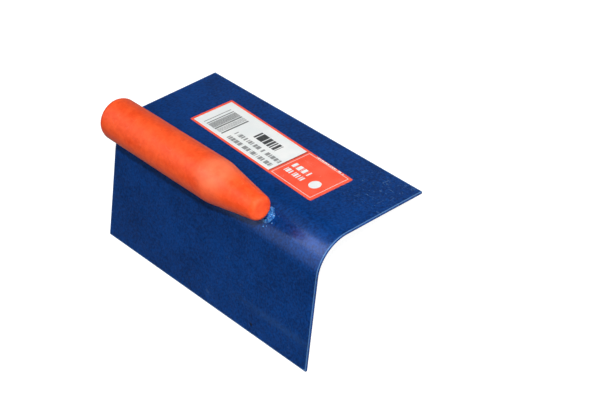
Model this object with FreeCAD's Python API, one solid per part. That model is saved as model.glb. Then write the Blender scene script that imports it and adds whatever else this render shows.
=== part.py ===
import FreeCAD, Part
import math
import os

# Kerb and gutter nosing trowel: a steel sheet blade bent to an obtuse angle with a large
# nosing radius, and a wooden handle that stands on two pins welded to the bend's crown.
#
# Millimetres. The tool stands like a tent on the free edges of its two flanges. +X runs along
# the bend towards the handle's nose, +Y towards the flange with the label, +Z up. The origin
# is the middle of the bounding box's base.
#
# Each piece is drawn in the section frame, where the outer planes of the two flanges meet in a
# sharp corner at Y = Z = 0 and +Z is the outward bisector, and is then set down by to_rest().

# Blade
blade_length = 200.0
label_flange_width = 78.4      # from the sharp corner to the free edge
plain_flange_width = 82.3
flange_angle = 103.0           # between the flanges; a kerb's face leans back by the rest
nosing_radius = 26.0           # outer surface of the bend
sheet_thickness = 1.6
corner_radius = 0.5            # free corners, seen square to the flange

# Handle: a turned shape about an axis parallel to the bend
handle_radius = 14.0
handle_lift = 19.9             # from the crown to the handle's axis
handle_nose_x = 58.5
handle_length = 150.0
handle_dome_length = 8.3       # the rear end bulges by this much
dome_rounding = 4.2            # between the dome and the straight grip
handle_taper_length = 41.4
handle_nose_radius = 7.8
nose_rounding = 3.6
shoulder_rounding = 30.0

# Pins that carry the handle
post_radius = 3.0
post_height = 22.0             # above the crown
post_chamfer = 0.6
post_positions = {"front": 47.0, "rear": -62.0}
hole_clearance = 1.0           # between a pin's top and its hole's end

# Fillet weld around each pin's foot
weld_toe_radius = 5.3
weld_height = 2.4
weld_bulge = (4.6, 1.2)        # radius and height of the bead's middle
weld_depth = 0.6               # how far the bead follows the crown down

# Label
label_length = 125.8
label_width = 32.2
label_thickness = 0.12
label_corner_radius = 0.8
label_centre = (-1.9, 45.0)    # along the bend, and from the sharp corner down the flange
label_tilt = -2.8

half_angle = math.radians(flange_angle / 2)
tangent_length = nosing_radius / math.tan(half_angle)
bend_centre_z = -nosing_radius / math.sin(half_angle)
crown_z = bend_centre_z + nosing_radius
handle_axis_z = crown_z + handle_lift

X_AXIS = FreeCAD.Vector(1, 0, 0)
Z_AXIS = FreeCAD.Vector(0, 0, 1)
CORNER = FreeCAD.Vector(0, 0, 0)


def flange_point(side, along, depth):
    """Point of the cross-section: along a flange, and into the sheet. side is +1 at the label."""
    y = side * (along * math.sin(half_angle) - depth * math.cos(half_angle))
    z = -along * math.cos(half_angle) - depth * math.sin(half_angle)
    return FreeCAD.Vector(0, y, z)


def turn_to_level():
    """Turn about X that brings the two flanges' inner lower edges to one height."""
    label_foot = flange_point(1, label_flange_width, sheet_thickness)
    plain_foot = flange_point(-1, plain_flange_width, sheet_thickness)
    span = label_foot - plain_foot
    return FreeCAD.Rotation(X_AXIS, -math.degrees(math.atan2(span.z, span.y)))


def rest_placement():
    """Level the blade, drop its lower edges to Z = 0 and centre its width on Y = 0."""
    turn = turn_to_level()
    foot = turn.multVec(flange_point(1, label_flange_width, sheet_thickness))
    label_edge = turn.multVec(flange_point(1, label_flange_width, 0))
    plain_edge = turn.multVec(flange_point(-1, plain_flange_width, 0))
    shift = FreeCAD.Vector(0, -(label_edge.y + plain_edge.y) / 2, -foot.z)
    return FreeCAD.Placement(shift, turn)


def to_rest(shape):
    placed = shape.copy()
    placed.Placement = rest_placement().multiply(placed.Placement)
    return placed


def bend_line(depth):
    """One face of the sheet across the section: flange, bend and flange."""
    crown = FreeCAD.Vector(0, 0, crown_z - depth)
    ends = [flange_point(1, label_flange_width, depth), flange_point(-1, plain_flange_width, depth)]
    tangents = [flange_point(1, tangent_length, depth), flange_point(-1, tangent_length, depth)]
    return [
        Part.makeLine(ends[0], tangents[0]),
        Part.Arc(tangents[0], crown, tangents[1]).toShape(),
        Part.makeLine(tangents[1], ends[1]),
    ]


def make_blade():
    edges = bend_line(0) + bend_line(sheet_thickness)
    for side, width in ((1, label_flange_width), (-1, plain_flange_width)):
        edges.append(Part.makeLine(flange_point(side, width, 0),
                                   flange_point(side, width, sheet_thickness)))
    section = Part.Face(Part.Wire(Part.__sortEdges__(edges)))
    section.translate(X_AXIS * (-blade_length / 2))
    blade = section.extrude(X_AXIS * blade_length)
    free_corners = [edge for edge in blade.Edges
                    if edge.BoundBox.XLength < 1e-6
                    and abs(edge.Length - sheet_thickness) < 1e-6]
    return blade.makeFillet(corner_radius, free_corners)


def rounded_corner(before, corner, after, radius):
    """Start, middle and end of the arc that rounds a corner between two straight runs."""
    to_before = (before - corner).normalize()
    to_after = (after - corner).normalize()
    half_turn = to_before.getAngle(to_after) / 2
    bisector = (to_before + to_after).normalize()
    setback = radius / math.tan(half_turn)
    middle = corner + bisector * (radius / math.sin(half_turn) - radius)
    return corner + to_before * setback, middle, corner + to_after * setback


def arc_about(centre, radius, start, end):
    """Arc between two directions from its centre, given as unit vectors."""
    middle = (start + end).normalize()
    return Part.Arc(centre + start * radius, centre + middle * radius,
                    centre + end * radius).toShape()


def handle_section():
    """Half of the handle's long section, between its axis and its surface."""
    rear_x = handle_nose_x - handle_length
    dome_x = rear_x + handle_dome_length

    def at(x, radius):
        return FreeCAD.Vector(x, 0, handle_axis_z + radius)

    shoulder = at(handle_nose_x - handle_taper_length, handle_radius)
    rim = at(handle_nose_x, handle_nose_radius)
    dome_edge = at(dome_x, handle_radius)
    nose = at(handle_nose_x, 0)
    tail = at(rear_x, 0)
    shoulder_arc = rounded_corner(dome_edge, shoulder, rim, shoulder_rounding)
    rim_arc = rounded_corner(shoulder, rim, nose, nose_rounding)

    # The dome is an arc about the axis that runs smoothly into its rounded edge.
    inset = handle_radius - dome_rounding
    dome_radius = ((handle_dome_length ** 2 + inset ** 2 - dome_rounding ** 2)
                   / (2 * (handle_dome_length - dome_rounding)))
    dome_centre = at(rear_x + dome_radius, 0)
    edge_centre = at(dome_x, inset)
    join = (edge_centre - dome_centre).normalize()
    edges = [
        arc_about(dome_centre, dome_radius, -X_AXIS, join),
        arc_about(edge_centre, dome_rounding, join, Z_AXIS),
        Part.makeLine(dome_edge, shoulder_arc[0]),
        Part.Arc(*shoulder_arc).toShape(),
        Part.makeLine(shoulder_arc[2], rim_arc[0]),
        Part.Arc(*rim_arc).toShape(),
        Part.makeLine(rim_arc[2], nose),
        Part.makeLine(nose, tail),
    ]
    return Part.Face(Part.Wire(Part.__sortEdges__(edges)))


def upright_cylinder(x, radius, height):
    """Cylinder square to the crown, from inside the bend up to a height above the crown."""
    root = crown_z - nosing_radius / 2
    base = FreeCAD.Vector(x, 0, root)
    return Part.makeCylinder(radius, crown_z + height - root, base, Z_AXIS)


def bend_core():
    """Everything inside the bend's outer surface, for shaping what sits on the crown."""
    start = FreeCAD.Vector(-blade_length / 2, 0, bend_centre_z)
    return Part.makeCylinder(nosing_radius, blade_length, start, X_AXIS)


def make_handle():
    blank = handle_section().revolve(FreeCAD.Vector(0, 0, handle_axis_z), X_AXIS, 360)
    for x in post_positions.values():
        blank = blank.cut(upright_cylinder(x, post_radius, post_height + hole_clearance))
    return blank


def make_post(x):
    """Straight pin with a chamfered top and a foot that is shaped to the crown."""
    pin = upright_cylinder(x, post_radius, post_height)
    top_edge = [edge for edge in pin.Edges
                if abs(edge.BoundBox.ZMin - crown_z - post_height) < 1e-6
                and edge.BoundBox.ZLength < 1e-6]
    return pin.makeChamfer(post_chamfer, top_edge).cut(bend_core())


def make_weld(x):
    """Convex fillet bead around a pin's foot."""
    def at(radius, height):
        return FreeCAD.Vector(x + radius, 0, crown_z + height)

    toe = at(weld_toe_radius, -weld_depth)
    top = at(post_radius, weld_height)
    root = at(post_radius, -weld_depth)
    edges = [
        Part.Arc(toe, at(*weld_bulge), top).toShape(),
        Part.makeLine(top, root),
        Part.makeLine(root, toe),
    ]
    bead = Part.Face(Part.Wire(edges)).revolve(FreeCAD.Vector(x, 0, 0), Z_AXIS, 360)
    return bead.cut(bend_core())


def make_label():
    """Thin sticker on the outer face of one flange, put on a little askew."""
    label = Part.makeBox(label_length, label_width, label_thickness,
                         FreeCAD.Vector(-label_length / 2, -label_width / 2, 0))
    upright = [edge for edge in label.Edges if edge.BoundBox.ZLength > label_thickness / 2]
    label = label.makeFillet(label_corner_radius, upright)
    label.rotate(CORNER, Z_AXIS, label_tilt)
    label.translate(FreeCAD.Vector(label_centre[0], label_centre[1], 0))
    label.rotate(CORNER, X_AXIS, flange_angle / 2 - 90)
    return label


def make_pieces():
    pieces = {
        "nosing_blade": make_blade(),
        "handle": make_handle(),
        "label": make_label(),
    }
    for name, x in post_positions.items():
        pieces[name + "_post"] = make_post(x)
        pieces[name + "_weld"] = make_weld(x)
    return pieces


os.makedirs("parts", exist_ok=True)
for name, shape in make_pieces().items():
    piece = to_rest(shape)
    piece.exportStep("parts/" + name + ".step")
    box = piece.BoundBox
    print(name, "valid", piece.isValid(), "solids", len(piece.Solids),
          "volume %.1f" % piece.Volume,
          "x %.2f %.2f y %.2f %.2f z %.2f %.2f" % (box.XMin, box.XMax, box.YMin, box.YMax,
                                                    box.ZMin, box.ZMax))
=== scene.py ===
import math

import bmesh
import bpy
from mathutils import Matrix, Vector, noise


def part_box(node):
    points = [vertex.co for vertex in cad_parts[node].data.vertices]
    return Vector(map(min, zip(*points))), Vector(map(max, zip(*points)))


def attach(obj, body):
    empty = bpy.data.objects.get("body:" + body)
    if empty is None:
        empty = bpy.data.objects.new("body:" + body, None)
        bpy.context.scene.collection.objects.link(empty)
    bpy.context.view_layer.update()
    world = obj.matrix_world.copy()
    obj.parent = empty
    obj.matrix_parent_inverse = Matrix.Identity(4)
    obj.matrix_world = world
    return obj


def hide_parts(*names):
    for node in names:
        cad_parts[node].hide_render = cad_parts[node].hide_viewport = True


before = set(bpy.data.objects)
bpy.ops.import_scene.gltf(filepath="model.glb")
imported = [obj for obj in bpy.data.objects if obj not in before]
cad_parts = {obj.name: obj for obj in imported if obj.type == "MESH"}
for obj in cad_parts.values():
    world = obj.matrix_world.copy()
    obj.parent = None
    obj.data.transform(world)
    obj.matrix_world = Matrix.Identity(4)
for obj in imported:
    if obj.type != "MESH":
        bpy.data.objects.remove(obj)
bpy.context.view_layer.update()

# Kerb and gutter nosing trowel. Metres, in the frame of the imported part: +X along the bend
# towards the handle's nose, +Y towards the flange with the label, +Z up.
#
# The blade and what is fixed to it are drawn in the section frame, where the outer planes of the
# flanges meet in a sharp corner at Y = Z = 0 and +Z is the outward bisector. REST sets them down.
# A place on the sheet is given as (x, arc): arc is measured over the outer surface from the
# crown of the bend, positive on the label's side.
MM = 0.001

# Blade, as in the CAD section
FLANGE_ANGLE = math.radians(103)
NOSING_RADIUS = 26 * MM
SHEET_THICKNESS = 1.6 * MM
FLANGE_WIDTH = {1: 78.4 * MM, -1: 82.3 * MM}    # label flange, plain flange
CORNER_RADIUS = 0.5 * MM
EDGE_ROUNDING = 0.35 * MM
SHEET_STEP_X = 2 * MM                           # grid that the sheet is made on
SHEET_STEP_ARC = 1.2 * MM
BLADE_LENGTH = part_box("nosing_blade")[1].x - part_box("nosing_blade")[0].x

HALF_ANGLE = FLANGE_ANGLE / 2
HALF_TURN = math.pi / 2 - HALF_ANGLE
TANGENT_LENGTH = NOSING_RADIUS / math.tan(HALF_ANGLE)
BEND_CENTRE_Z = -NOSING_RADIUS / math.sin(HALF_ANGLE)
CROWN_Z = BEND_CENTRE_Z + NOSING_RADIUS
BEND_REACH = NOSING_RADIUS * HALF_TURN          # arc from the crown to where a flange starts

# Unevenness of the sheet: (height, length along X, length along the arc)
SHEET_WAVES = (
    (0.10 * MM, 62 * MM, 44 * MM),
    (0.02 * MM, 13 * MM, 10 * MM),
)

# Handle
HANDLE_LOW, HANDLE_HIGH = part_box("handle")
HANDLE_CENTRE = (HANDLE_LOW + HANDLE_HIGH) / 2
HANDLE_RADIUS = (HANDLE_HIGH.y - HANDLE_LOW.y) / 2
DOME_LENGTH = 8.3 * MM
DOME_ROUNDING = 4.2 * MM
TAPER_LENGTH = 41.4 * MM
NOSE_RADIUS = 7.8 * MM
NOSE_ROUNDING = 3.6 * MM
SHOULDER_ROUNDING = 30 * MM
# A paler place just ahead of the shoulder: a painted highlight, and paint worn where the thumb rests
THUMB_SHEEN_ANGLE = math.radians(20)                  # paler place, from the top towards the label
THUMB_SHEEN_AHEAD = 5 * MM                            # paler place, from the shoulder to the nose
THUMB_SHEEN_REACH = 21                                # millimetres
THUMB_SHEEN_SQUEEZE = 0.8                             # its length along the grip against its width
TURNING_MARKS = 0.07 * MM
GRIP_WAVES = (0.13 * MM, 0.03 * MM)             # coarse and fine unevenness of the painted blank
GRIP_INSET = 0.1 * MM                           # keeps the uneven surface inside the turned shape
RING_STEP = 1.4 * MM
HANDLE_SEGMENTS = 112

# Pins and their welds
PIN_RADIUS = 3 * MM
PIN_HEIGHT = 22 * MM                            # above the crown
PIN_CHAMFER = 0.6 * MM
HOLE_DEPTH = 23 * MM                            # end of the pin's hole, above the crown
HOLE_GAP = 0.06 * MM
PIN_X = {end: sum(corner.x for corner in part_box(end + "_post")) / 2 for end in ("front", "rear")}
BEAD_TOE = 5.2 * MM
BEAD_HEIGHT = 2.4 * MM
BEAD_BULGE = 1.15 * MM
BEAD_RIPPLES = 9
BEAD_RIPPLE_HEIGHT = 0.42 * MM
BEAD_GRAIN = 0.35 * MM
BEAD_INNER_RADIUS = PIN_RADIUS - 0.05 * MM      # a little inside the pin
BEAD_SINK = 0.03 * MM                           # a little below the sheet's surface
DROPLET_SINK = 0.02 * MM

# Label, put on a little askew
LABEL_LENGTH = 125.8 * MM
LABEL_WIDTH = 32.2 * MM
LABEL_THICKNESS = 0.12 * MM
LABEL_CORNER_CUT = 0.24 * MM                    # the corner points move in by this much
LABEL_TILT = math.radians(-2.8)
LABEL_X = -1.9 * MM
LABEL_ALONG = 45 * MM                           # from the sharp corner down the flange


def flange_point(side, along, depth):
    """Point of the section: along a flange from the sharp corner, and into the sheet."""
    y = side * (along * math.sin(HALF_ANGLE) - depth * math.cos(HALF_ANGLE))
    z = -along * math.cos(HALF_ANGLE) - depth * math.sin(HALF_ANGLE)
    return Vector((0, y, z))


def rest_matrix():
    """Stands the section on the two flanges' free edges, with its width centred on Y = 0."""
    feet = {side: flange_point(side, width, SHEET_THICKNESS) for side, width in FLANGE_WIDTH.items()}
    span = feet[1] - feet[-1]
    turn = Matrix.Rotation(-math.atan2(span.z, span.y), 4, "X")
    edges = [turn @ flange_point(side, width, 0) for side, width in FLANGE_WIDTH.items()]
    return Matrix.Translation((0, -(edges[0].y + edges[1].y) / 2, -(turn @ feet[1]).z)) @ turn


REST = rest_matrix()


def sheet_normal(arc):
    angle = max(-HALF_TURN, min(HALF_TURN, arc / NOSING_RADIUS))
    return Vector((0, math.sin(angle), math.cos(angle)))


def sheet_wave(x, arc):
    """How far the sheet stands out or in from its ideal surface."""
    return sum(height * noise.noise(Vector((x / along, arc / across, 10 * along / MM)))
               for height, along, across in SHEET_WAVES)


def sheet_point(x, arc, lift=0.0):
    """Point over the sheet's outer surface, in the section frame."""
    normal = sheet_normal(arc)
    if abs(arc) <= BEND_REACH:
        point = Vector((x, 0, BEND_CENTRE_Z)) + normal * NOSING_RADIUS
    else:
        along = TANGENT_LENGTH + abs(arc) - BEND_REACH
        point = flange_point(math.copysign(1, arc), along, 0) + Vector((x, 0, 0))
    return point + normal * (lift + sheet_wave(x, arc))


def arc_at(along):
    """Arc of a place on a flange that is this far from the sharp corner."""
    return BEND_REACH + along - TANGENT_LENGTH


# ---------------------------------------------------------------- meshes


def add_piece(name, bm, material, nodes=(), matrix=Matrix.Identity(4), closed=True):
    """Turns a bmesh into a smooth-shaded piece that rides on the part's one body."""
    if closed:
        bmesh.ops.recalc_face_normals(bm, faces=bm.faces)
    mesh = bpy.data.meshes.new(name)
    bm.to_mesh(mesh)
    bm.free()
    mesh.transform(matrix)
    mesh.polygons.foreach_set("use_smooth", [True] * len(mesh.polygons))
    mesh.materials.append(material)
    piece = bpy.data.objects.new(name, mesh)
    bpy.context.scene.collection.objects.link(piece)
    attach(piece, "root")
    if nodes:
        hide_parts(*nodes)
    return piece


def even_steps(start, end, step):
    """Evenly spread values from start to end, both included."""
    count = max(1, round(abs(end - start) / step))
    return [start + (end - start) * i / count for i in range(count + 1)]


def bridge(bm, rings, close=False):
    """Faces between neighbouring rings of vertices."""
    pairs = list(zip(rings, rings[1:]))
    if close:
        pairs.append((rings[-1], rings[0]))
    for first, second in pairs:
        for i in range(len(first)):
            j = (i + 1) % len(first)
            bm.faces.new((first[i], first[j], second[j], second[i]))


def lathe(outline, place, segments):
    """Closed turned solid. outline is (along the axis, radius); place gives the 3-D point."""
    bm = bmesh.new()
    rings = []
    for along, radius in outline[1:-1]:
        rings.append([bm.verts.new(place(along, radius, 2 * math.pi * i / segments))
                      for i in range(segments)])
    bridge(bm, rings)
    for (along, _), ring in ((outline[0], rings[0]), (outline[-1], rings[-1])):
        pole = bm.verts.new(place(along, 0, 0))
        for i in range(segments):
            bm.faces.new((pole, ring[i], ring[(i + 1) % segments]))
    return bm


def arc_points(centre, radius, start, end, count):
    """Points of an arc in (along, radius), between two angles from the axis."""
    angles = [start + (end - start) * i / count for i in range(count + 1)]
    return [(centre[0] + radius * math.cos(a), centre[1] + radius * math.sin(a)) for a in angles]


def round_corner(before, corner, after, radius, count):
    """Points of the arc that rounds a corner of an outline."""
    before, corner, after = Vector(before), Vector(corner), Vector(after)
    back = (before - corner).normalized()
    on = (after - corner).normalized()
    half = back.angle(on) / 2
    centre = corner + (back + on).normalized() * (radius / math.sin(half))
    first = corner + back * (radius / math.tan(half)) - centre
    turn = math.pi - 2 * half
    if first.x * on.y - first.y * on.x < 0:
        turn = -turn
    return [tuple(centre + Matrix.Rotation(turn * i / count, 2) @ first) for i in range(count + 1)]


# ---------------------------------------------------------------- blade


def rim_lines(low, high, step):
    """Grid lines between two rims, with a narrow cell along each for the rounded corners."""
    return [low] + even_steps(low + CORNER_RADIUS, high - CORNER_RADIUS, step) + [high]


def rounded_place(x, arc, arc_low, arc_high):
    """Moves a grid point so that the sheet's free corners become round."""
    middle, half_width = (arc_low + arc_high) / 2, (arc_high - arc_low) / 2
    half_length = BLADE_LENGTH / 2
    a = max(0, (abs(x) - half_length) / CORNER_RADIUS + 1)
    b = max(0, (abs(arc - middle) - half_width) / CORNER_RADIUS + 1)
    if a > 0 and b > 0:
        x = math.copysign(half_length + CORNER_RADIUS * (a * math.sqrt(1 - b * b / 2) - 1), x)
        offset = half_width + CORNER_RADIUS * (b * math.sqrt(1 - a * a / 2) - 1)
        arc = middle + math.copysign(offset, arc - middle)
    return x, arc


def make_blade(material):
    """One bent sheet: its outer surface as a grid, given thickness and rounded edges."""
    arc_low, arc_high = -arc_at(FLANGE_WIDTH[-1]), arc_at(FLANGE_WIDTH[1])
    half_length = BLADE_LENGTH / 2
    bm = bmesh.new()
    sheet = bm.verts.layers.float_vector.new("sheet")
    rim = bm.verts.layers.float.new("rim")
    columns = []
    for grid_x in rim_lines(-half_length, half_length, SHEET_STEP_X):
        column = []
        for grid_arc in rim_lines(arc_low, arc_high, SHEET_STEP_ARC):
            x, arc = rounded_place(grid_x, grid_arc, arc_low, arc_high)
            vert = bm.verts.new(sheet_point(x, arc))
            vert[sheet] = Vector((x, arc, 0)) / MM
            vert[rim] = min(half_length - abs(x), arc - arc_low, arc_high - arc) / MM
            column.append(vert)
        columns.append(column)
    for first, second in zip(columns, columns[1:]):
        for j in range(len(first) - 1):
            bm.faces.new((first[j], second[j], second[j + 1], first[j + 1]))
    blade = add_piece("painted_blade", bm, material, ["nosing_blade"], REST,
                      closed=False)
    thicken = blade.modifiers.new("sheet thickness", "SOLIDIFY")
    thicken.thickness = SHEET_THICKNESS
    thicken.offset = -1
    thicken.use_even_offset = True
    edge = blade.modifiers.new("worn edges", "BEVEL")
    edge.width = EDGE_ROUNDING
    edge.segments = 3
    edge.limit_method = "ANGLE"
    edge.angle_limit = math.radians(60)


# ---------------------------------------------------------------- handle


def handle_outline():
    """Half outline of the grip from its domed rear end to its blunt nose."""
    rear, nose = HANDLE_LOW.x, HANDLE_HIGH.x
    inset = HANDLE_RADIUS - DOME_ROUNDING
    dome_radius = ((DOME_LENGTH ** 2 + inset ** 2 - DOME_ROUNDING ** 2)
                   / (2 * (DOME_LENGTH - DOME_ROUNDING)))
    dome_centre = (rear + dome_radius, 0)
    edge_centre = (rear + DOME_LENGTH, inset)
    grip_start = (rear + DOME_LENGTH, HANDLE_RADIUS)
    join = math.atan2(edge_centre[1] - dome_centre[1], edge_centre[0] - dome_centre[0])
    shoulder = (nose - TAPER_LENGTH, HANDLE_RADIUS)
    rim = (nose, NOSE_RADIUS)
    shoulder_arc = round_corner(grip_start, shoulder, rim, SHOULDER_ROUNDING, 6)
    rim_arc = round_corner(shoulder, rim, (nose, 0), NOSE_ROUNDING, 9)

    def straight(start, end):
        return [tuple(Vector(start).lerp(Vector(end), t)) for t in
                even_steps(0, 1, RING_STEP / (Vector(end) - Vector(start)).length)][1:-1]

    return (arc_points(dome_centre, dome_radius, math.pi, join, 9)
            + arc_points(edge_centre, DOME_ROUNDING, join, math.pi / 2, 8)[1:]
            + straight(grip_start, shoulder_arc[0]) + shoulder_arc
            + straight(shoulder_arc[-1], rim_arc[0]) + rim_arc
            + straight(rim_arc[-1], (nose, 0)) + [(nose, 0)])


def handle_point(along, radius, angle):
    """Point of the grip, with the small unevenness of a turned and painted blank."""
    around = Vector((0, math.sin(angle), math.cos(angle)))
    spot = Vector((along / (24 * MM), around.y * 1.3, around.z * 1.3))
    turned = TURNING_MARKS * noise.noise(Vector((along / (7 * MM), 0.5, 4.2)))
    uneven = GRIP_WAVES[0] * noise.noise(spot) + GRIP_WAVES[1] * noise.noise(spot * 5)
    share = min(1, radius / NOSE_RADIUS)
    centre = Vector((along, HANDLE_CENTRE.y, HANDLE_CENTRE.z))
    return centre + around * (radius + (turned + uneven - GRIP_INSET) * share)


def handle_radius_at(x):
    """Radius of the grip where a pin goes in."""
    shoulder = HANDLE_HIGH.x - TAPER_LENGTH
    slope = (HANDLE_RADIUS - NOSE_RADIUS) / TAPER_LENGTH
    return HANDLE_RADIUS - max(0, x - shoulder) * slope


def mouth_height(x):
    """Height above the crown at which a pin goes into the grip."""
    crown = REST @ Vector((0, 0, CROWN_Z))
    return HANDLE_CENTRE.z - crown.z - handle_radius_at(x)


def cut_holes(grip):
    """Drills the pins' blind holes, with slightly broken edges at their mouths."""
    for end, x in PIN_X.items():
        mouth = mouth_height(x)
        bore = PIN_RADIUS + HOLE_GAP
        outline = [
            (mouth - 4 * MM, 0), (mouth - 4 * MM, bore + 4.3 * MM), (mouth + 0.5 * MM, bore),
            (HOLE_DEPTH, bore), (HOLE_DEPTH + 1.2 * MM, 0),
        ]

        def place(along, radius, angle):
            spot = Vector((radius * math.cos(angle), radius * math.sin(angle), along))
            return REST @ (spot + Vector((x, 0, CROWN_Z)))

        bm = lathe(outline, place, 40)
        bmesh.ops.recalc_face_normals(bm, faces=bm.faces)
        mesh = bpy.data.meshes.new("drill")
        bm.to_mesh(mesh)
        bm.free()
        drill = bpy.data.objects.new("drill", mesh)
        bpy.context.scene.collection.objects.link(drill)
        cut = grip.modifiers.new("hole " + end, "BOOLEAN")
        cut.object = drill
        cut.solver = "EXACT"
        bpy.context.view_layer.update()
        cut_mesh = bpy.data.meshes.new_from_object(
            grip.evaluated_get(bpy.context.evaluated_depsgraph_get()))
        grip.modifiers.clear()
        grip.data = cut_mesh
        bpy.data.objects.remove(drill)
    grip.data.name = grip.name
    grip.data.set_sharp_from_angle(angle=math.radians(35))


def make_handle(material):
    bm = lathe(handle_outline(), handle_point, HANDLE_SEGMENTS)
    grip = add_piece("turned_grip", bm, material, ["handle"])
    cut_holes(grip)


# ---------------------------------------------------------------- pins and welds


def make_pin(end, material):
    """Round pin whose foot follows the crown, with a ring of paint where it meets the grip."""
    x = PIN_X[end]
    mouth = mouth_height(x)
    body = even_steps(0.4 * MM, mouth - 1.2 * MM, 0.8 * MM)
    outline = [(0, 0), (0, PIN_RADIUS)] + [(h, PIN_RADIUS) for h in body]
    outline += [(mouth - 0.5 * MM, PIN_RADIUS + 0.03 * MM), (mouth - 0.1 * MM, PIN_RADIUS + 0.05 * MM),
                (mouth + 0.6 * MM, PIN_RADIUS), (PIN_HEIGHT - PIN_CHAMFER, PIN_RADIUS),
                (PIN_HEIGHT, PIN_RADIUS - PIN_CHAMFER), (PIN_HEIGHT, 0)]

    def place(along, radius, angle):
        across = Vector((radius * math.cos(angle), radius * math.sin(angle)))
        drop = NOSING_RADIUS - math.sqrt(NOSING_RADIUS ** 2 - across.y ** 2)
        foot = max(0, 1 - along / (2 * MM))
        rough = 0.05 * MM * noise.noise(Vector((across.x, across.y, along)) / (1.6 * MM))
        swell = 1 + rough / PIN_RADIUS * (1 - foot) * (along < mouth)
        return Vector((x + across.x * swell, across.y * swell, CROWN_Z + along - drop * foot))

    bm = lathe(outline, place, 48)
    add_piece(end + "_pin", bm, material, [end + "_post"], REST)


def make_bead(end, material, seed):
    """Lumpy fillet of weld round a pin's foot: overlapping ripples, its toe down on the crown."""
    x = PIN_X[end]
    around, over = 104, 14
    bm = bmesh.new()
    rings = []
    for i in range(around):
        angle = 2 * math.pi * i / around
        direction = Vector((math.cos(angle), math.sin(angle)))
        lump = noise.noise(Vector((direction.x * 1.4, direction.y * 1.4, seed)))
        ripple = abs(math.sin(angle * BEAD_RIPPLES / 2 + 1.2 * lump)) ** 0.7
        toe = BEAD_TOE * (1 + 0.20 * lump)
        height = BEAD_HEIGHT * (1 + 0.5 * noise.noise(Vector((direction.x, direction.y, seed + 5))))
        ring = []
        for k in range(over + 1):
            t = k / over
            radius = toe + (BEAD_INNER_RADIUS - toe) * t
            lift = height * (t ** 1.1) + BEAD_BULGE * math.sin(math.pi * t) ** 0.8
            grain = noise.noise(Vector((direction.x * 6, direction.y * 6, t * 5 + seed)))
            rough = BEAD_RIPPLE_HEIGHT * ripple + BEAD_GRAIN * grain
            lift += rough * math.sin(math.pi * t) ** 0.7
            ring.append((radius, lift))
        ring.append((BEAD_INNER_RADIUS, 0))
        verts = []
        for radius, lift in ring:
            side = direction * radius
            verts.append(bm.verts.new(sheet_point(x + side.x, side.y, lift - BEAD_SINK)))
        rings.append(verts)
    bridge(bm, rings, close=True)
    add_piece(end + "_bead", bm, material, [end + "_weld"], REST)


def droplet(bm, x, arc, size, seed):
    """Frozen splash of weld metal on the sheet, closed underneath."""
    around, over = 18, 6
    rings = []
    for k in range(1, over + 1):
        t = k / over
        ring = []
        for i in range(around):
            angle = 2 * math.pi * i / around
            wobble = 1 + 0.22 * noise.noise(Vector((math.cos(angle), math.sin(angle), seed)))
            radius = size * wobble * math.sin(t * math.pi / 2)
            lift = 0.75 * size * math.cos(t * math.pi / 2)
            ring.append(bm.verts.new(sheet_point(x + radius * math.cos(angle),
                                                 arc + radius * math.sin(angle),
                                                 lift - DROPLET_SINK)))
        rings.append(ring)
    bridge(bm, rings)
    top = bm.verts.new(sheet_point(x, arc, 0.75 * size))
    for i in range(around):
        bm.faces.new((top, rings[0][i], rings[0][(i + 1) % around]))
    bm.faces.new(reversed(rings[-1]))


def make_spatter(material):
    """A few droplets beside each weld: (offset along X, arc, radius) from the pin, in mm."""
    bm = bmesh.new()
    drops = {
        "front": ((5.6, -3.0, 0.55), (2.9, -6.2, 0.4), (0.6, -7.4, 0.6), (7.4, 2.6, 0.35),
                  (-6.8, 3.1, 0.45), (-4.6, -7.1, 0.35)),
        "rear": ((6.3, 2.2, 0.5), (-6.1, -3.4, 0.42), (2.2, 7.3, 0.38), (-3.0, 6.6, 0.55)),
    }
    for end, places in drops.items():
        for seed, (x, arc, radius) in enumerate(places):
            droplet(bm, PIN_X[end] + x * MM, arc * MM, radius * MM, 3.7 * seed + PIN_X[end] / MM)
    add_piece("weld_spatter", bm, material, matrix=REST)


# ---------------------------------------------------------------- label


def label_place(u, v):
    """Place on the sheet of a point of the label: u along it, v across it, from its middle."""
    x = LABEL_X + u * math.cos(LABEL_TILT) - v * math.sin(LABEL_TILT)
    along = LABEL_ALONG + u * math.sin(LABEL_TILT) + v * math.cos(LABEL_TILT)
    return x, arc_at(along)


def make_label(material):
    """Thin sticker that follows the flange, closed all round. "print" holds its own millimetres."""
    columns, rows = 66, 18
    half = Vector((LABEL_LENGTH / 2, LABEL_WIDTH / 2))
    bm = bmesh.new()
    printed = bm.verts.layers.float_vector.new("print")
    sides = []
    for lift in (LABEL_THICKNESS, 0.0):
        grid = []
        for i in range(columns + 1):
            line = []
            for j in range(rows + 1):
                u = (2 * i / columns - 1) * half.x
                v = (2 * j / rows - 1) * half.y
                if i in (0, columns) and j in (0, rows):
                    u -= math.copysign(LABEL_CORNER_CUT, u)
                    v -= math.copysign(LABEL_CORNER_CUT, v)
                vert = bm.verts.new(sheet_point(*label_place(u, v), lift))
                vert[printed] = Vector((u, v, 0)) / MM
                line.append(vert)
            grid.append(line)
        sides.append(grid)
        for first, second in zip(grid, grid[1:]):
            for j in range(rows):
                bm.faces.new((first[j], second[j], second[j + 1], first[j + 1]))

    def border(grid):
        return (grid[0] + [line[-1] for line in grid[1:]] + grid[-1][-2::-1]
                + [line[0] for line in grid[-2:0:-1]])

    bridge(bm, [border(sides[0]), border(sides[1])])
    label = add_piece("label_sticker", bm, material, ["label"], REST)
    label.data.set_sharp_from_angle(angle=math.radians(40))


# ---------------------------------------------------------------- materials


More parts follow.
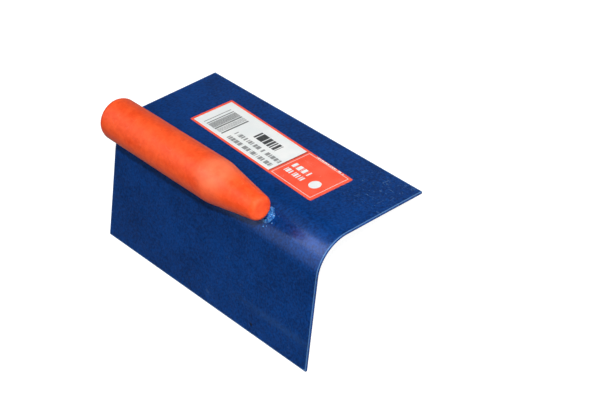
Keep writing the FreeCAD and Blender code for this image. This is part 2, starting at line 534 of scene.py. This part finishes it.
class Finish:
    """A material with short calls for the nodes that it is made of."""

    def __init__(self, name, **shader_values):
        self.material = bpy.data.materials.new(name)
        self.material.use_nodes = True
        self.nodes = self.material.node_tree.nodes
        self.shader = self.nodes["Principled BSDF"]
        for socket, value in shader_values.items():
            self.shader.inputs[socket.replace("_", " ")].default_value = value

    def put(self, socket, value):
        """Gives an input a number, a colour or another node's output."""
        if isinstance(value, bpy.types.NodeSocket):
            self.material.node_tree.links.new(value, socket)
        else:
            socket.default_value = value

    def add(self, kind, inputs=(), **settings):
        node = self.nodes.new("ShaderNode" + kind)
        for name, value in settings.items():
            setattr(node, name, value)
        for name, value in dict(inputs).items():
            self.put(node.inputs[name], value)
        return node

    def math(self, operation, first, second=0.0, clamp=False):
        inputs = {0: first, 1: second}
        return self.add("Math", inputs, operation=operation, use_clamp=clamp).outputs[0]

    def attribute(self, name):
        return self.add("Attribute", attribute_name=name).outputs["Vector"]

    def object_mm(self, stretch=(1, 1, 1)):
        """Places on the piece in millimetres, stretched along the axes."""
        place = self.add("TexCoord").outputs["Object"]
        scale = [1 / (MM * s) for s in stretch]
        return self.add("VectorMath", {0: place, 1: scale}, operation="MULTIPLY").outputs[0]

    def stretched(self, place, stretch):
        inputs = {0: place, 1: [1 / s for s in stretch]}
        return self.add("VectorMath", inputs, operation="MULTIPLY").outputs[0]

    def noise(self, place, size, detail=2.0, roughness=0.5, distortion=0.0):
        """Noise whose lumps are about this many millimetres across, from 0 to 1."""
        inputs = {"Vector": place, "Scale": 1 / size, "Detail": detail,
                  "Roughness": roughness, "Distortion": distortion}
        return self.add("TexNoise", inputs).outputs["Fac"]

    def fade(self, value, low, high, at_low=0.0, at_high=1.0):
        """Smooth change from at_low to at_high as value goes from low to high."""
        inputs = {"Value": value, "From Min": low, "From Max": high,
                  "To Min": at_low, "To Max": at_high}
        return self.add("MapRange", inputs, interpolation_type="SMOOTHSTEP").outputs["Result"]

    def blend(self, share, first, second):
        node = self.add("Mix", data_type="RGBA")
        self.put(node.inputs["Factor"], share)
        for socket, colour in ((node.inputs[6], first), (node.inputs[7], second)):
            self.put(socket, colour if isinstance(colour, bpy.types.NodeSocket) else (*colour, 1))
        return node.outputs[2]

    def bump(self, height, distance, strength=1.0, normal=None):
        inputs = {"Height": height, "Distance": distance * MM, "Strength": strength}
        if normal is not None:
            inputs["Normal"] = normal
        return self.add("Bump", inputs).outputs["Normal"]

    def split(self, place):
        return self.add("SeparateXYZ", {0: place}).outputs

    def near(self, place, centre, radius):
        """1 at a place on the piece, fading to 0 at a distance from it."""
        gap = self.add("VectorMath", {0: place, 1: centre}, operation="DISTANCE").outputs["Value"]
        return self.fade(gap, 0.3 * radius, radius, 1.0, 0.0)

    def scratches(self, place, size, width, broken):
        """Thin wandering lines, broken up into short pieces."""
        line = self.noise(place, size, detail=1.0, distortion=0.6)
        line = self.math("ABSOLUTE", self.math("SUBTRACT", line, 0.5))
        line = self.fade(line, 0, width, 1.0, 0.0)
        gaps = self.noise(place, size * 0.45, detail=0.0)
        return self.math("MULTIPLY", line, self.fade(gaps, broken, broken + 0.08))

    def finish(self, colour, roughness, normal):
        self.put(self.shader.inputs["Base Color"], colour)
        self.put(self.shader.inputs["Roughness"], roughness)
        self.put(self.shader.inputs["Normal"], normal)
        return self.material


DEEP_BLUE = (0.0009, 0.027, 0.140)
BRIGHT_BLUE = (0.0018, 0.072, 0.360)
# colour of scuffs, and of the painted reflection line
SCUFF_AND_SHEEN_BLUE = (0.13, 0.29, 0.56)
# painted highlight along the rims
RIM_HIGHLIGHT_BLUE = (0.16, 0.36, 0.68)
GLINT_BLUE = (0.06, 0.30, 0.75)
WORN_GLINT = (0.42, 0.66, 0.95)
BARE_STEEL = (0.012, 0.014, 0.016)

# Wear on the blade, in millimetres: ((x, arc, 0), reach)
SCUFFED_CORNER = ((84, 62, 0), 34)
CHIP = ((48, -73, 0), 1.5)
# arc of the painted reflection line along the plain flange
SHEEN_LINE_ARC = -61.5


def blade_enamel():
    """Semi-gloss blue enamel sprayed on sheet steel: orange peel, scuffs, a chip, a painted highlight
    with paler wear flecks along the rims, and a painted reflection line.
    """
    made = Finish("blade enamel", Specular_IOR_Level=0.3, Metallic=0.35, Coat_Weight=0.5,
                  Coat_Roughness=0.24)
    place = made.object_mm()
    sheet = made.attribute("sheet")
    x, arc, _ = made.split(sheet)
    rim = made.add("Attribute", attribute_name="rim").outputs["Fac"]

    cloud = made.noise(place, 26, detail=3)
    mottle = made.noise(place, 1.5, detail=2)
    tone = made.math("ADD", made.math("MULTIPLY", cloud, 0.3), made.math("MULTIPLY", mottle, 0.7))
    colour = made.blend(made.fade(tone, 0.28, 0.74), DEEP_BLUE, BRIGHT_BLUE)

    # Handling marks, most of them beside the label flange's front corner
    corner = made.near(sheet, *SCUFFED_CORNER)
    everywhere = made.fade(made.noise(place, 30, detail=1), 0.55, 0.75, 0.0, 0.35)
    where = made.math("MAXIMUM", corner, everywhere)
    marks = made.scratches(made.stretched(sheet, (2.6, 0.8, 1)), 9, 0.006, 0.5)
    more = made.scratches(made.stretched(sheet, (0.9, 1.9, 1)), 13, 0.004, 0.54)
    rubbed = made.noise(made.stretched(sheet, (1.7, 0.8, 1)), 1.9, detail=3, roughness=0.7)
    rubbed = made.fade(rubbed, 0.60, 0.72)
    marks = made.math("MAXIMUM", made.math("MAXIMUM", marks, more), rubbed)
    marks = made.math("MULTIPLY", marks, where)
    colour = made.blend(made.math("MULTIPLY", marks, 0.7), colour, SCUFF_AND_SHEEN_BLUE)

    # A painted reflection: a long faint pale line along the plain flange, stronger towards its front
    off = made.math("ABSOLUTE", made.math("SUBTRACT", arc, SHEEN_LINE_ARC))
    sheen_line = made.math("MULTIPLY", made.fade(off, 0.5, 4, 1.0, 0.0), made.fade(x, 10, 60))
    sheen_line = made.math("MULTIPLY", sheen_line, made.fade(cloud, 0.3, 0.7, 0.03, 0.09))
    colour = made.blend(sheen_line, colour, SCUFF_AND_SHEEN_BLUE)

    # A painted highlight: light blue paint just inside the rims, with paler wear flecks in it, and one
    # chip low on the plain flange
    rim_highlight = made.math("MULTIPLY", made.fade(rim, 0, 0.12), made.fade(rim, 0.4, 0.9, 1.0, 0.0))
    glint_and_wear = made.fade(made.noise(place, 3.2, detail=4, roughness=0.7), 0.56, 0.66)
    glint_and_wear = made.math("MULTIPLY", rim_highlight, glint_and_wear)
    # painted highlight: a light blue band along the rims
    colour = made.blend(made.math("MULTIPLY", rim_highlight, 0.7), colour, RIM_HIGHLIGHT_BLUE)
    # paler flecks inside the painted highlight band, partly wear and partly painted glint
    colour = made.blend(made.math("MULTIPLY", glint_and_wear, 0.5), colour, SCUFF_AND_SHEEN_BLUE)
    chip = made.near(sheet, *CHIP)
    colour = made.blend(chip, colour, BARE_STEEL)

    roughness = made.fade(made.noise(place, 6, detail=3), 0.3, 0.7, 0.34, 0.46)
    roughness = made.math("ADD", roughness, made.math("MULTIPLY", marks, 0.25), clamp=True)
    peel = made.noise(place, 1.1, detail=1)
    normal = made.bump(peel, 0.05, 0.55)
    normal = made.bump(made.noise(place, 7, detail=2), 0.06, 0.5, normal)
    dents = made.math("MAXIMUM", marks, made.math("MAXIMUM", glint_and_wear, chip))
    normal = made.bump(made.math("SUBTRACT", 1.0, dents), 0.05, 0.6, normal)
    return made.finish(colour, roughness, normal)


def pin_enamel(name, lumps):
    """The same enamel, glossier where it has run thick over pins and weld, with light blue glints
    painted into its colour.
    """
    made = Finish(name, Specular_IOR_Level=0.8, Metallic=0.3, Coat_Weight=1.0, Coat_Roughness=0.08)
    place = made.object_mm()
    tone = made.noise(place, 1.3, detail=3)
    # painted glints: patches of light blue in the colour
    colour = made.blend(made.fade(tone, 0.35, 0.62), BRIGHT_BLUE, GLINT_BLUE)
    # painted glints: near-white spots in the colour
    glint_and_wear = made.fade(made.noise(place, 0.9, detail=3), 0.60, 0.68)
    colour = made.blend(made.math("MULTIPLY", glint_and_wear, 0.8), colour, WORN_GLINT)
    roughness = made.fade(made.noise(place, 1.2), 0.3, 0.7, 0.16, 0.30)
    normal = made.bump(made.noise(place, 0.8, detail=2), 0.16, lumps)
    return made.finish(colour, roughness, normal)


ORANGE_DEEP = (0.82, 0.060, 0.008)
ORANGE_BRIGHT = (0.97, 0.112, 0.024)
ORANGE_GRAIN = (0.60, 0.045, 0.010)
ORANGE_RUBBED = (0.95, 0.21, 0.10)
# painted highlight and wear ahead of the shoulder
ORANGE_WORN_SHEEN = (0.98, 0.25, 0.12)
ORANGE_SCRATCH = (0.95, 0.26, 0.13)


def handle_paint():
    """Orange paint on turned wood: clouds of colour, faint turning rings and grain, scuffs."""
    made = Finish("handle paint", Specular_IOR_Level=0.4)
    place = made.object_mm()
    grain_place = made.object_mm((9, 1, 1))
    ring_place = made.object_mm((1, 60, 60))

    cloud = made.noise(place, 11, detail=4, roughness=0.6)
    speck = made.noise(place, 2.2, detail=2)
    tone = made.math("ADD", made.math("MULTIPLY", cloud, 0.65), made.math("MULTIPLY", speck, 0.35))
    colour = made.blend(made.fade(tone, 0.33, 0.68), ORANGE_DEEP, ORANGE_BRIGHT)
    grain = made.noise(grain_place, 1.3, detail=3, roughness=0.6)
    dark_grain = made.fade(grain, 0.60, 0.74)
    colour = made.blend(made.math("MULTIPLY", dark_grain, 0.30), colour, ORANGE_GRAIN)
    rubbed = made.fade(made.noise(place, 5, detail=4, roughness=0.7), 0.62, 0.74)
    colour = made.blend(made.math("MULTIPLY", rubbed, 0.30), colour, ORANGE_RUBBED)

    # Paler paint just ahead of the shoulder: a painted highlight, and paint worn where the thumb rests
    upward = Vector((0, math.sin(THUMB_SHEEN_ANGLE), math.cos(THUMB_SHEEN_ANGLE)))
    thumb_sheen = (HANDLE_CENTRE + upward * HANDLE_RADIUS) / MM
    thumb_sheen.x = (HANDLE_HIGH.x - TAPER_LENGTH + THUMB_SHEEN_AHEAD) / (MM * THUMB_SHEEN_SQUEEZE)
    pale = made.near(made.object_mm((THUMB_SHEEN_SQUEEZE, 1, 1)), thumb_sheen, THUMB_SHEEN_REACH)
    pale = made.math("MULTIPLY", pale, made.fade(cloud, 0.25, 0.6, 0.55, 1.0))
    colour = made.blend(made.math("MULTIPLY", pale, 0.5), colour, ORANGE_WORN_SHEEN)
    marks = made.scratches(made.object_mm((3, 1, 1)), 8, 0.004, 0.56)
    colour = made.blend(made.math("MULTIPLY", marks, 0.45), colour, ORANGE_SCRATCH)

    roughness = made.fade(cloud, 0.3, 0.7, 0.42, 0.54)
    roughness = made.math("ADD", roughness, made.math("MULTIPLY", marks, 0.2), clamp=True)
    rings = made.noise(ring_place, 1.1, detail=2)
    normal = made.bump(rings, 0.06, 0.35)
    normal = made.bump(grain, 0.05, 0.4, normal)
    normal = made.bump(made.noise(place, 1.4, detail=2), 0.05, 0.4, normal)
    return made.finish(colour, roughness, normal)


# Printed areas of the label, in millimetres from its middle: (left, right, low, high)
PAPER = (-61.0, 19.1, -14.6, 14.6)
DIVIDER = (19.1, 20.3, -14.6, 14.6)
RED_OUTLINE = (21.6, 60.4, -14.3, 14.7)
CODE_LOW, CODE_HIGH = -11.7, 9.0
CODE_BARS = (                                   # (left, right, share that is ink)
    (-53.9, -53.3, 1.0), (-51.0, -50.1, 1.0), (-49.2, -42.9, 0.64), (-42.4, -41.1, 1.0),
    (-40.6, -36.0, 0.38), (-35.2, -33.9, 1.0),
)
CODE_PITCH = 1.05                               # from one thin bar to the next
HEADING_LINE = (-17.6, 5.0, 0.4, 7.4)
TEXT_LINES = ((-28.7, 17.4, -6.2, -3.0), (-28.6, 16.4, -12.1, -8.9))
RED_MARKS = ((23.4, 43.0, -7.7, -3.8), (24.8, 40.6, -1.7, 2.6))
SMALL_LINE = (28.2, 54.3, 15.0, 15.8)
DISC = ((51.3, -3.7, 0), 4.2)                   # middle and reach

LABEL_RED = (0.93, 0.095, 0.045)
LABEL_WHITE = (0.80, 0.84, 0.84)
PRINT_GREY = (0.055, 0.060, 0.062)
FADED_RED = (0.96, 0.125, 0.066)
CLEAN_WHITE = (0.86, 0.88, 0.87)
DIVIDER_BROWN = (0.22, 0.05, 0.04)
RUBBED_PRINT = (0.9, 0.82, 0.78)
PRINT_BLUR = 0.06                               # half the width of a printed edge


def label_film():
    """Glossy printed film with plain marks in place of words, a little rubbed and creased."""
    made = Finish("label film", Specular_IOR_Level=0.4)
    place = made.attribute("print")
    u, v, _ = made.split(place)

    def inside(area):
        left, right, low, high = area
        soft = PRINT_BLUR
        across = made.math("MULTIPLY", made.fade(u, left - soft, left + soft),
                           made.fade(u, right - soft, right + soft, 1.0, 0.0))
        along = made.math("MULTIPLY", made.fade(v, low - soft, low + soft),
                          made.fade(v, high - soft, high + soft, 1.0, 0.0))
        return made.math("MULTIPLY", across, along)

    def frame_of(area, stroke):
        """The outline of an area."""
        left, right, low, high = area
        core = inside((left + stroke, right - stroke, low + stroke, high - stroke))
        return made.math("SUBTRACT", inside(area), core, clamp=True)

    def words(area, length, seed):
        """A line of short dashes of uneven length."""
        bar = made.add("CombineXYZ", {0: made.math("MULTIPLY", u, 1 / length), 1: seed}).outputs[0]
        gaps = made.add("TexVoronoi", {"Vector": bar, "Scale": 1.0, "Randomness": 1.0},
                        voronoi_dimensions="2D", feature="DISTANCE_TO_EDGE").outputs["Distance"]
        return made.math("MULTIPLY", inside(area), made.fade(gaps, 0.07, 0.10))

    def together(masks):
        total = masks[0]
        for mask in masks[1:]:
            total = made.math("MAXIMUM", total, mask)
        return total

    faded = made.noise(made.object_mm(), 9, detail=3)
    red = made.blend(made.fade(faded, 0.3, 0.7), LABEL_RED, FADED_RED)
    white = made.blend(made.fade(faded, 0.35, 0.7), LABEL_WHITE, CLEAN_WHITE)

    outline = frame_of(RED_OUTLINE, 0.5)
    disc = made.math("GREATER_THAN", made.near(place, *DISC), 0.02)
    on_red = [words(area, 3.4, 2.3 * i) for i, area in enumerate(RED_MARKS)]
    on_red = together(on_red + [disc, words(SMALL_LINE, 2.6, 3.3)])
    on_red = made.math("MAXIMUM", on_red, made.math("MULTIPLY", outline, 0.6))
    colour = made.blend(on_red, red, white)
    colour = made.blend(inside(PAPER), colour, white)
    colour = made.blend(made.math("MULTIPLY", inside(DIVIDER), 0.75), colour, DIVIDER_BROWN)

    wave = made.math("SINE", made.math("MULTIPLY", u, 2 * math.pi / CODE_PITCH))
    bars = []
    for left, right, share in CODE_BARS:
        level = math.cos(math.pi * share)
        bar = inside((left, right, CODE_LOW, CODE_HIGH))
        bars.append(made.math("MULTIPLY", bar, made.fade(wave, level - 0.3, level + 0.05)))
    lines = together([words(area, 3.1, 1.7 * i) for i, area in enumerate(TEXT_LINES)])
    ink = together([made.math("MULTIPLY", together(bars), 0.9),
                    made.math("MULTIPLY", lines, 0.72), words(HEADING_LINE, 4.6, 7.7)])
    colour = made.blend(ink, colour, PRINT_GREY)
    rubbed = made.scratches(made.stretched(place, (3, 1, 1)), 11, 0.003, 0.55)
    colour = made.blend(made.math("MULTIPLY", rubbed, 0.3), colour, RUBBED_PRINT)

    roughness = made.fade(faded, 0.3, 0.7, 0.30, 0.42)
    normal = made.bump(made.noise(place, 5, detail=2), 0.05, 0.3)
    normal = made.bump(made.noise(place, 0.8, detail=1), 0.01, 0.3, normal)
    return made.finish(colour, roughness, normal)


# ---------------------------------------------------------------- studio


FLOOR_HALF_WIDTH = 6.0
FLOOR_GLOW = 0.93
FLOOR_GREYS = ((0.30, 0.30, 0.30), (0.32, 0.32, 0.32))


def make_floor():
    """Wide plain floor: white where it is seen, and grey to what it lights from below."""
    bm = bmesh.new()
    quarters = ((-1, -1), (1, -1), (1, 1), (-1, 1))
    bm.faces.new([bm.verts.new((x * FLOOR_HALF_WIDTH, y * FLOOR_HALF_WIDTH, 0)) for x, y in quarters])
    mesh = bpy.data.meshes.new("floor")
    bm.to_mesh(mesh)
    bm.free()
    made = Finish("floor paper", Roughness=0.9, Specular_IOR_Level=0.0,
                  Emission_Color=(1, 1, 1, 1))
    seen = made.add("LightPath").outputs["Is Camera Ray"]
    made.put(made.shader.inputs["Emission Strength"], made.math("MULTIPLY", seen, FLOOR_GLOW))
    grain = made.noise(made.object_mm(), 3, detail=2)
    made.put(made.shader.inputs["Base Color"], made.blend(grain, *FLOOR_GREYS))
    mesh.materials.append(made.material)
    floor = bpy.data.objects.new("floor", mesh)
    bpy.context.scene.collection.objects.link(floor)


def add_light(name, direction, distance, size, power):
    """Square soft light that looks back at the object from a direction, and is not seen itself."""
    light = bpy.data.lights.new(name, "AREA")
    light.size = size
    light.energy = power
    holder = bpy.data.objects.new(name, light)
    away = Vector(direction).normalized()
    holder.location = AIM + away * distance
    holder.rotation_mode = "QUATERNION"
    holder.rotation_quaternion = away.to_track_quat("Z", "Y")
    holder.visible_camera = False
    bpy.context.scene.collection.objects.link(holder)
    return holder


def make_world():
    """Soft dome, bright overhead and dark round the horizon. The camera sees plain white."""
    world = bpy.data.worlds.new("studio")
    world.use_nodes = True
    nodes, links = world.node_tree.nodes, world.node_tree.links
    nodes.clear()
    place = nodes.new("ShaderNodeTexCoord")
    height = nodes.new("ShaderNodeSeparateXYZ")
    ramp = nodes.new("ShaderNodeMapRange")
    ramp.interpolation_type = "SMOOTHSTEP"
    ramp.inputs["From Min"].default_value = 0.3
    ramp.inputs["From Max"].default_value = 0.65
    ramp.inputs["To Min"].default_value = 0.005
    ramp.inputs["To Max"].default_value = 0.26
    dome = nodes.new("ShaderNodeBackground")
    backdrop = nodes.new("ShaderNodeBackground")
    backdrop.inputs["Color"].default_value = (1, 1, 1, 1)
    seen = nodes.new("ShaderNodeLightPath")
    chosen = nodes.new("ShaderNodeMixShader")
    output = nodes.new("ShaderNodeOutputWorld")
    links.new(place.outputs["Generated"], height.inputs[0])
    links.new(height.outputs["Z"], ramp.inputs["Value"])
    links.new(ramp.outputs["Result"], dome.inputs["Strength"])
    links.new(seen.outputs["Is Camera Ray"], chosen.inputs[0])
    links.new(dome.outputs[0], chosen.inputs[1])
    links.new(backdrop.outputs[0], chosen.inputs[2])
    links.new(chosen.outputs[0], output.inputs["Surface"])
    bpy.context.scene.world = world


AIM = Vector((0.03836, 0.02036, 0.01820))
CAMERA_PLACE = Vector((0.82217, -0.00867, 0.89443))
CAMERA_ROLL = math.radians(-55.434)
CAMERA_LENS = 117.96


def make_camera():
    """Looks down along the bend from the front, rolled so that the nosing runs to the right."""
    data = bpy.data.cameras.new("camera")
    data.lens = CAMERA_LENS
    data.sensor_width = 36
    camera = bpy.data.objects.new("camera", data)
    look = (AIM - CAMERA_PLACE).to_track_quat("-Z", "Y").to_matrix().to_4x4()
    camera.matrix_world = (Matrix.Translation(CAMERA_PLACE) @ look
                           @ Matrix.Rotation(CAMERA_ROLL, 4, "Z"))
    bpy.context.scene.collection.objects.link(camera)
    bpy.context.scene.camera = camera


def make_studio():
    make_floor()
    make_world()
    make_camera()
    key = add_light("key light", (0.61, 0.075, 0.78), 1.6, 0.06, 23)
    key.visible_glossy = False                  # small: it would show as a hard spot in the gloss
    add_light("camera light", (0.58, 0.14, 0.80), 1.6, 1.0, 1.8)
    add_light("front light", (0.85, 0.35, 0.40), 1.3, 1.0, 8)
    add_light("back light", (-0.55, 0.0, 0.83), 1.0, 0.45, 1.7)
    add_light("left light", (-0.60, -0.38, 0.70), 1.1, 0.6, 0.8)
    bpy.context.scene.view_settings.view_transform = "Standard"


make_blade(blade_enamel())
make_handle(handle_paint())
pin_finish = pin_enamel("post enamel", 0.3)
bead_finish = pin_enamel("weld enamel", 0.8)
for seed, end in enumerate(PIN_X):
    make_pin(end, pin_finish)
    make_bead(end, bead_finish, 2.5 + 4 * seed)
make_spatter(bead_finish)
make_label(label_film())
make_studio()
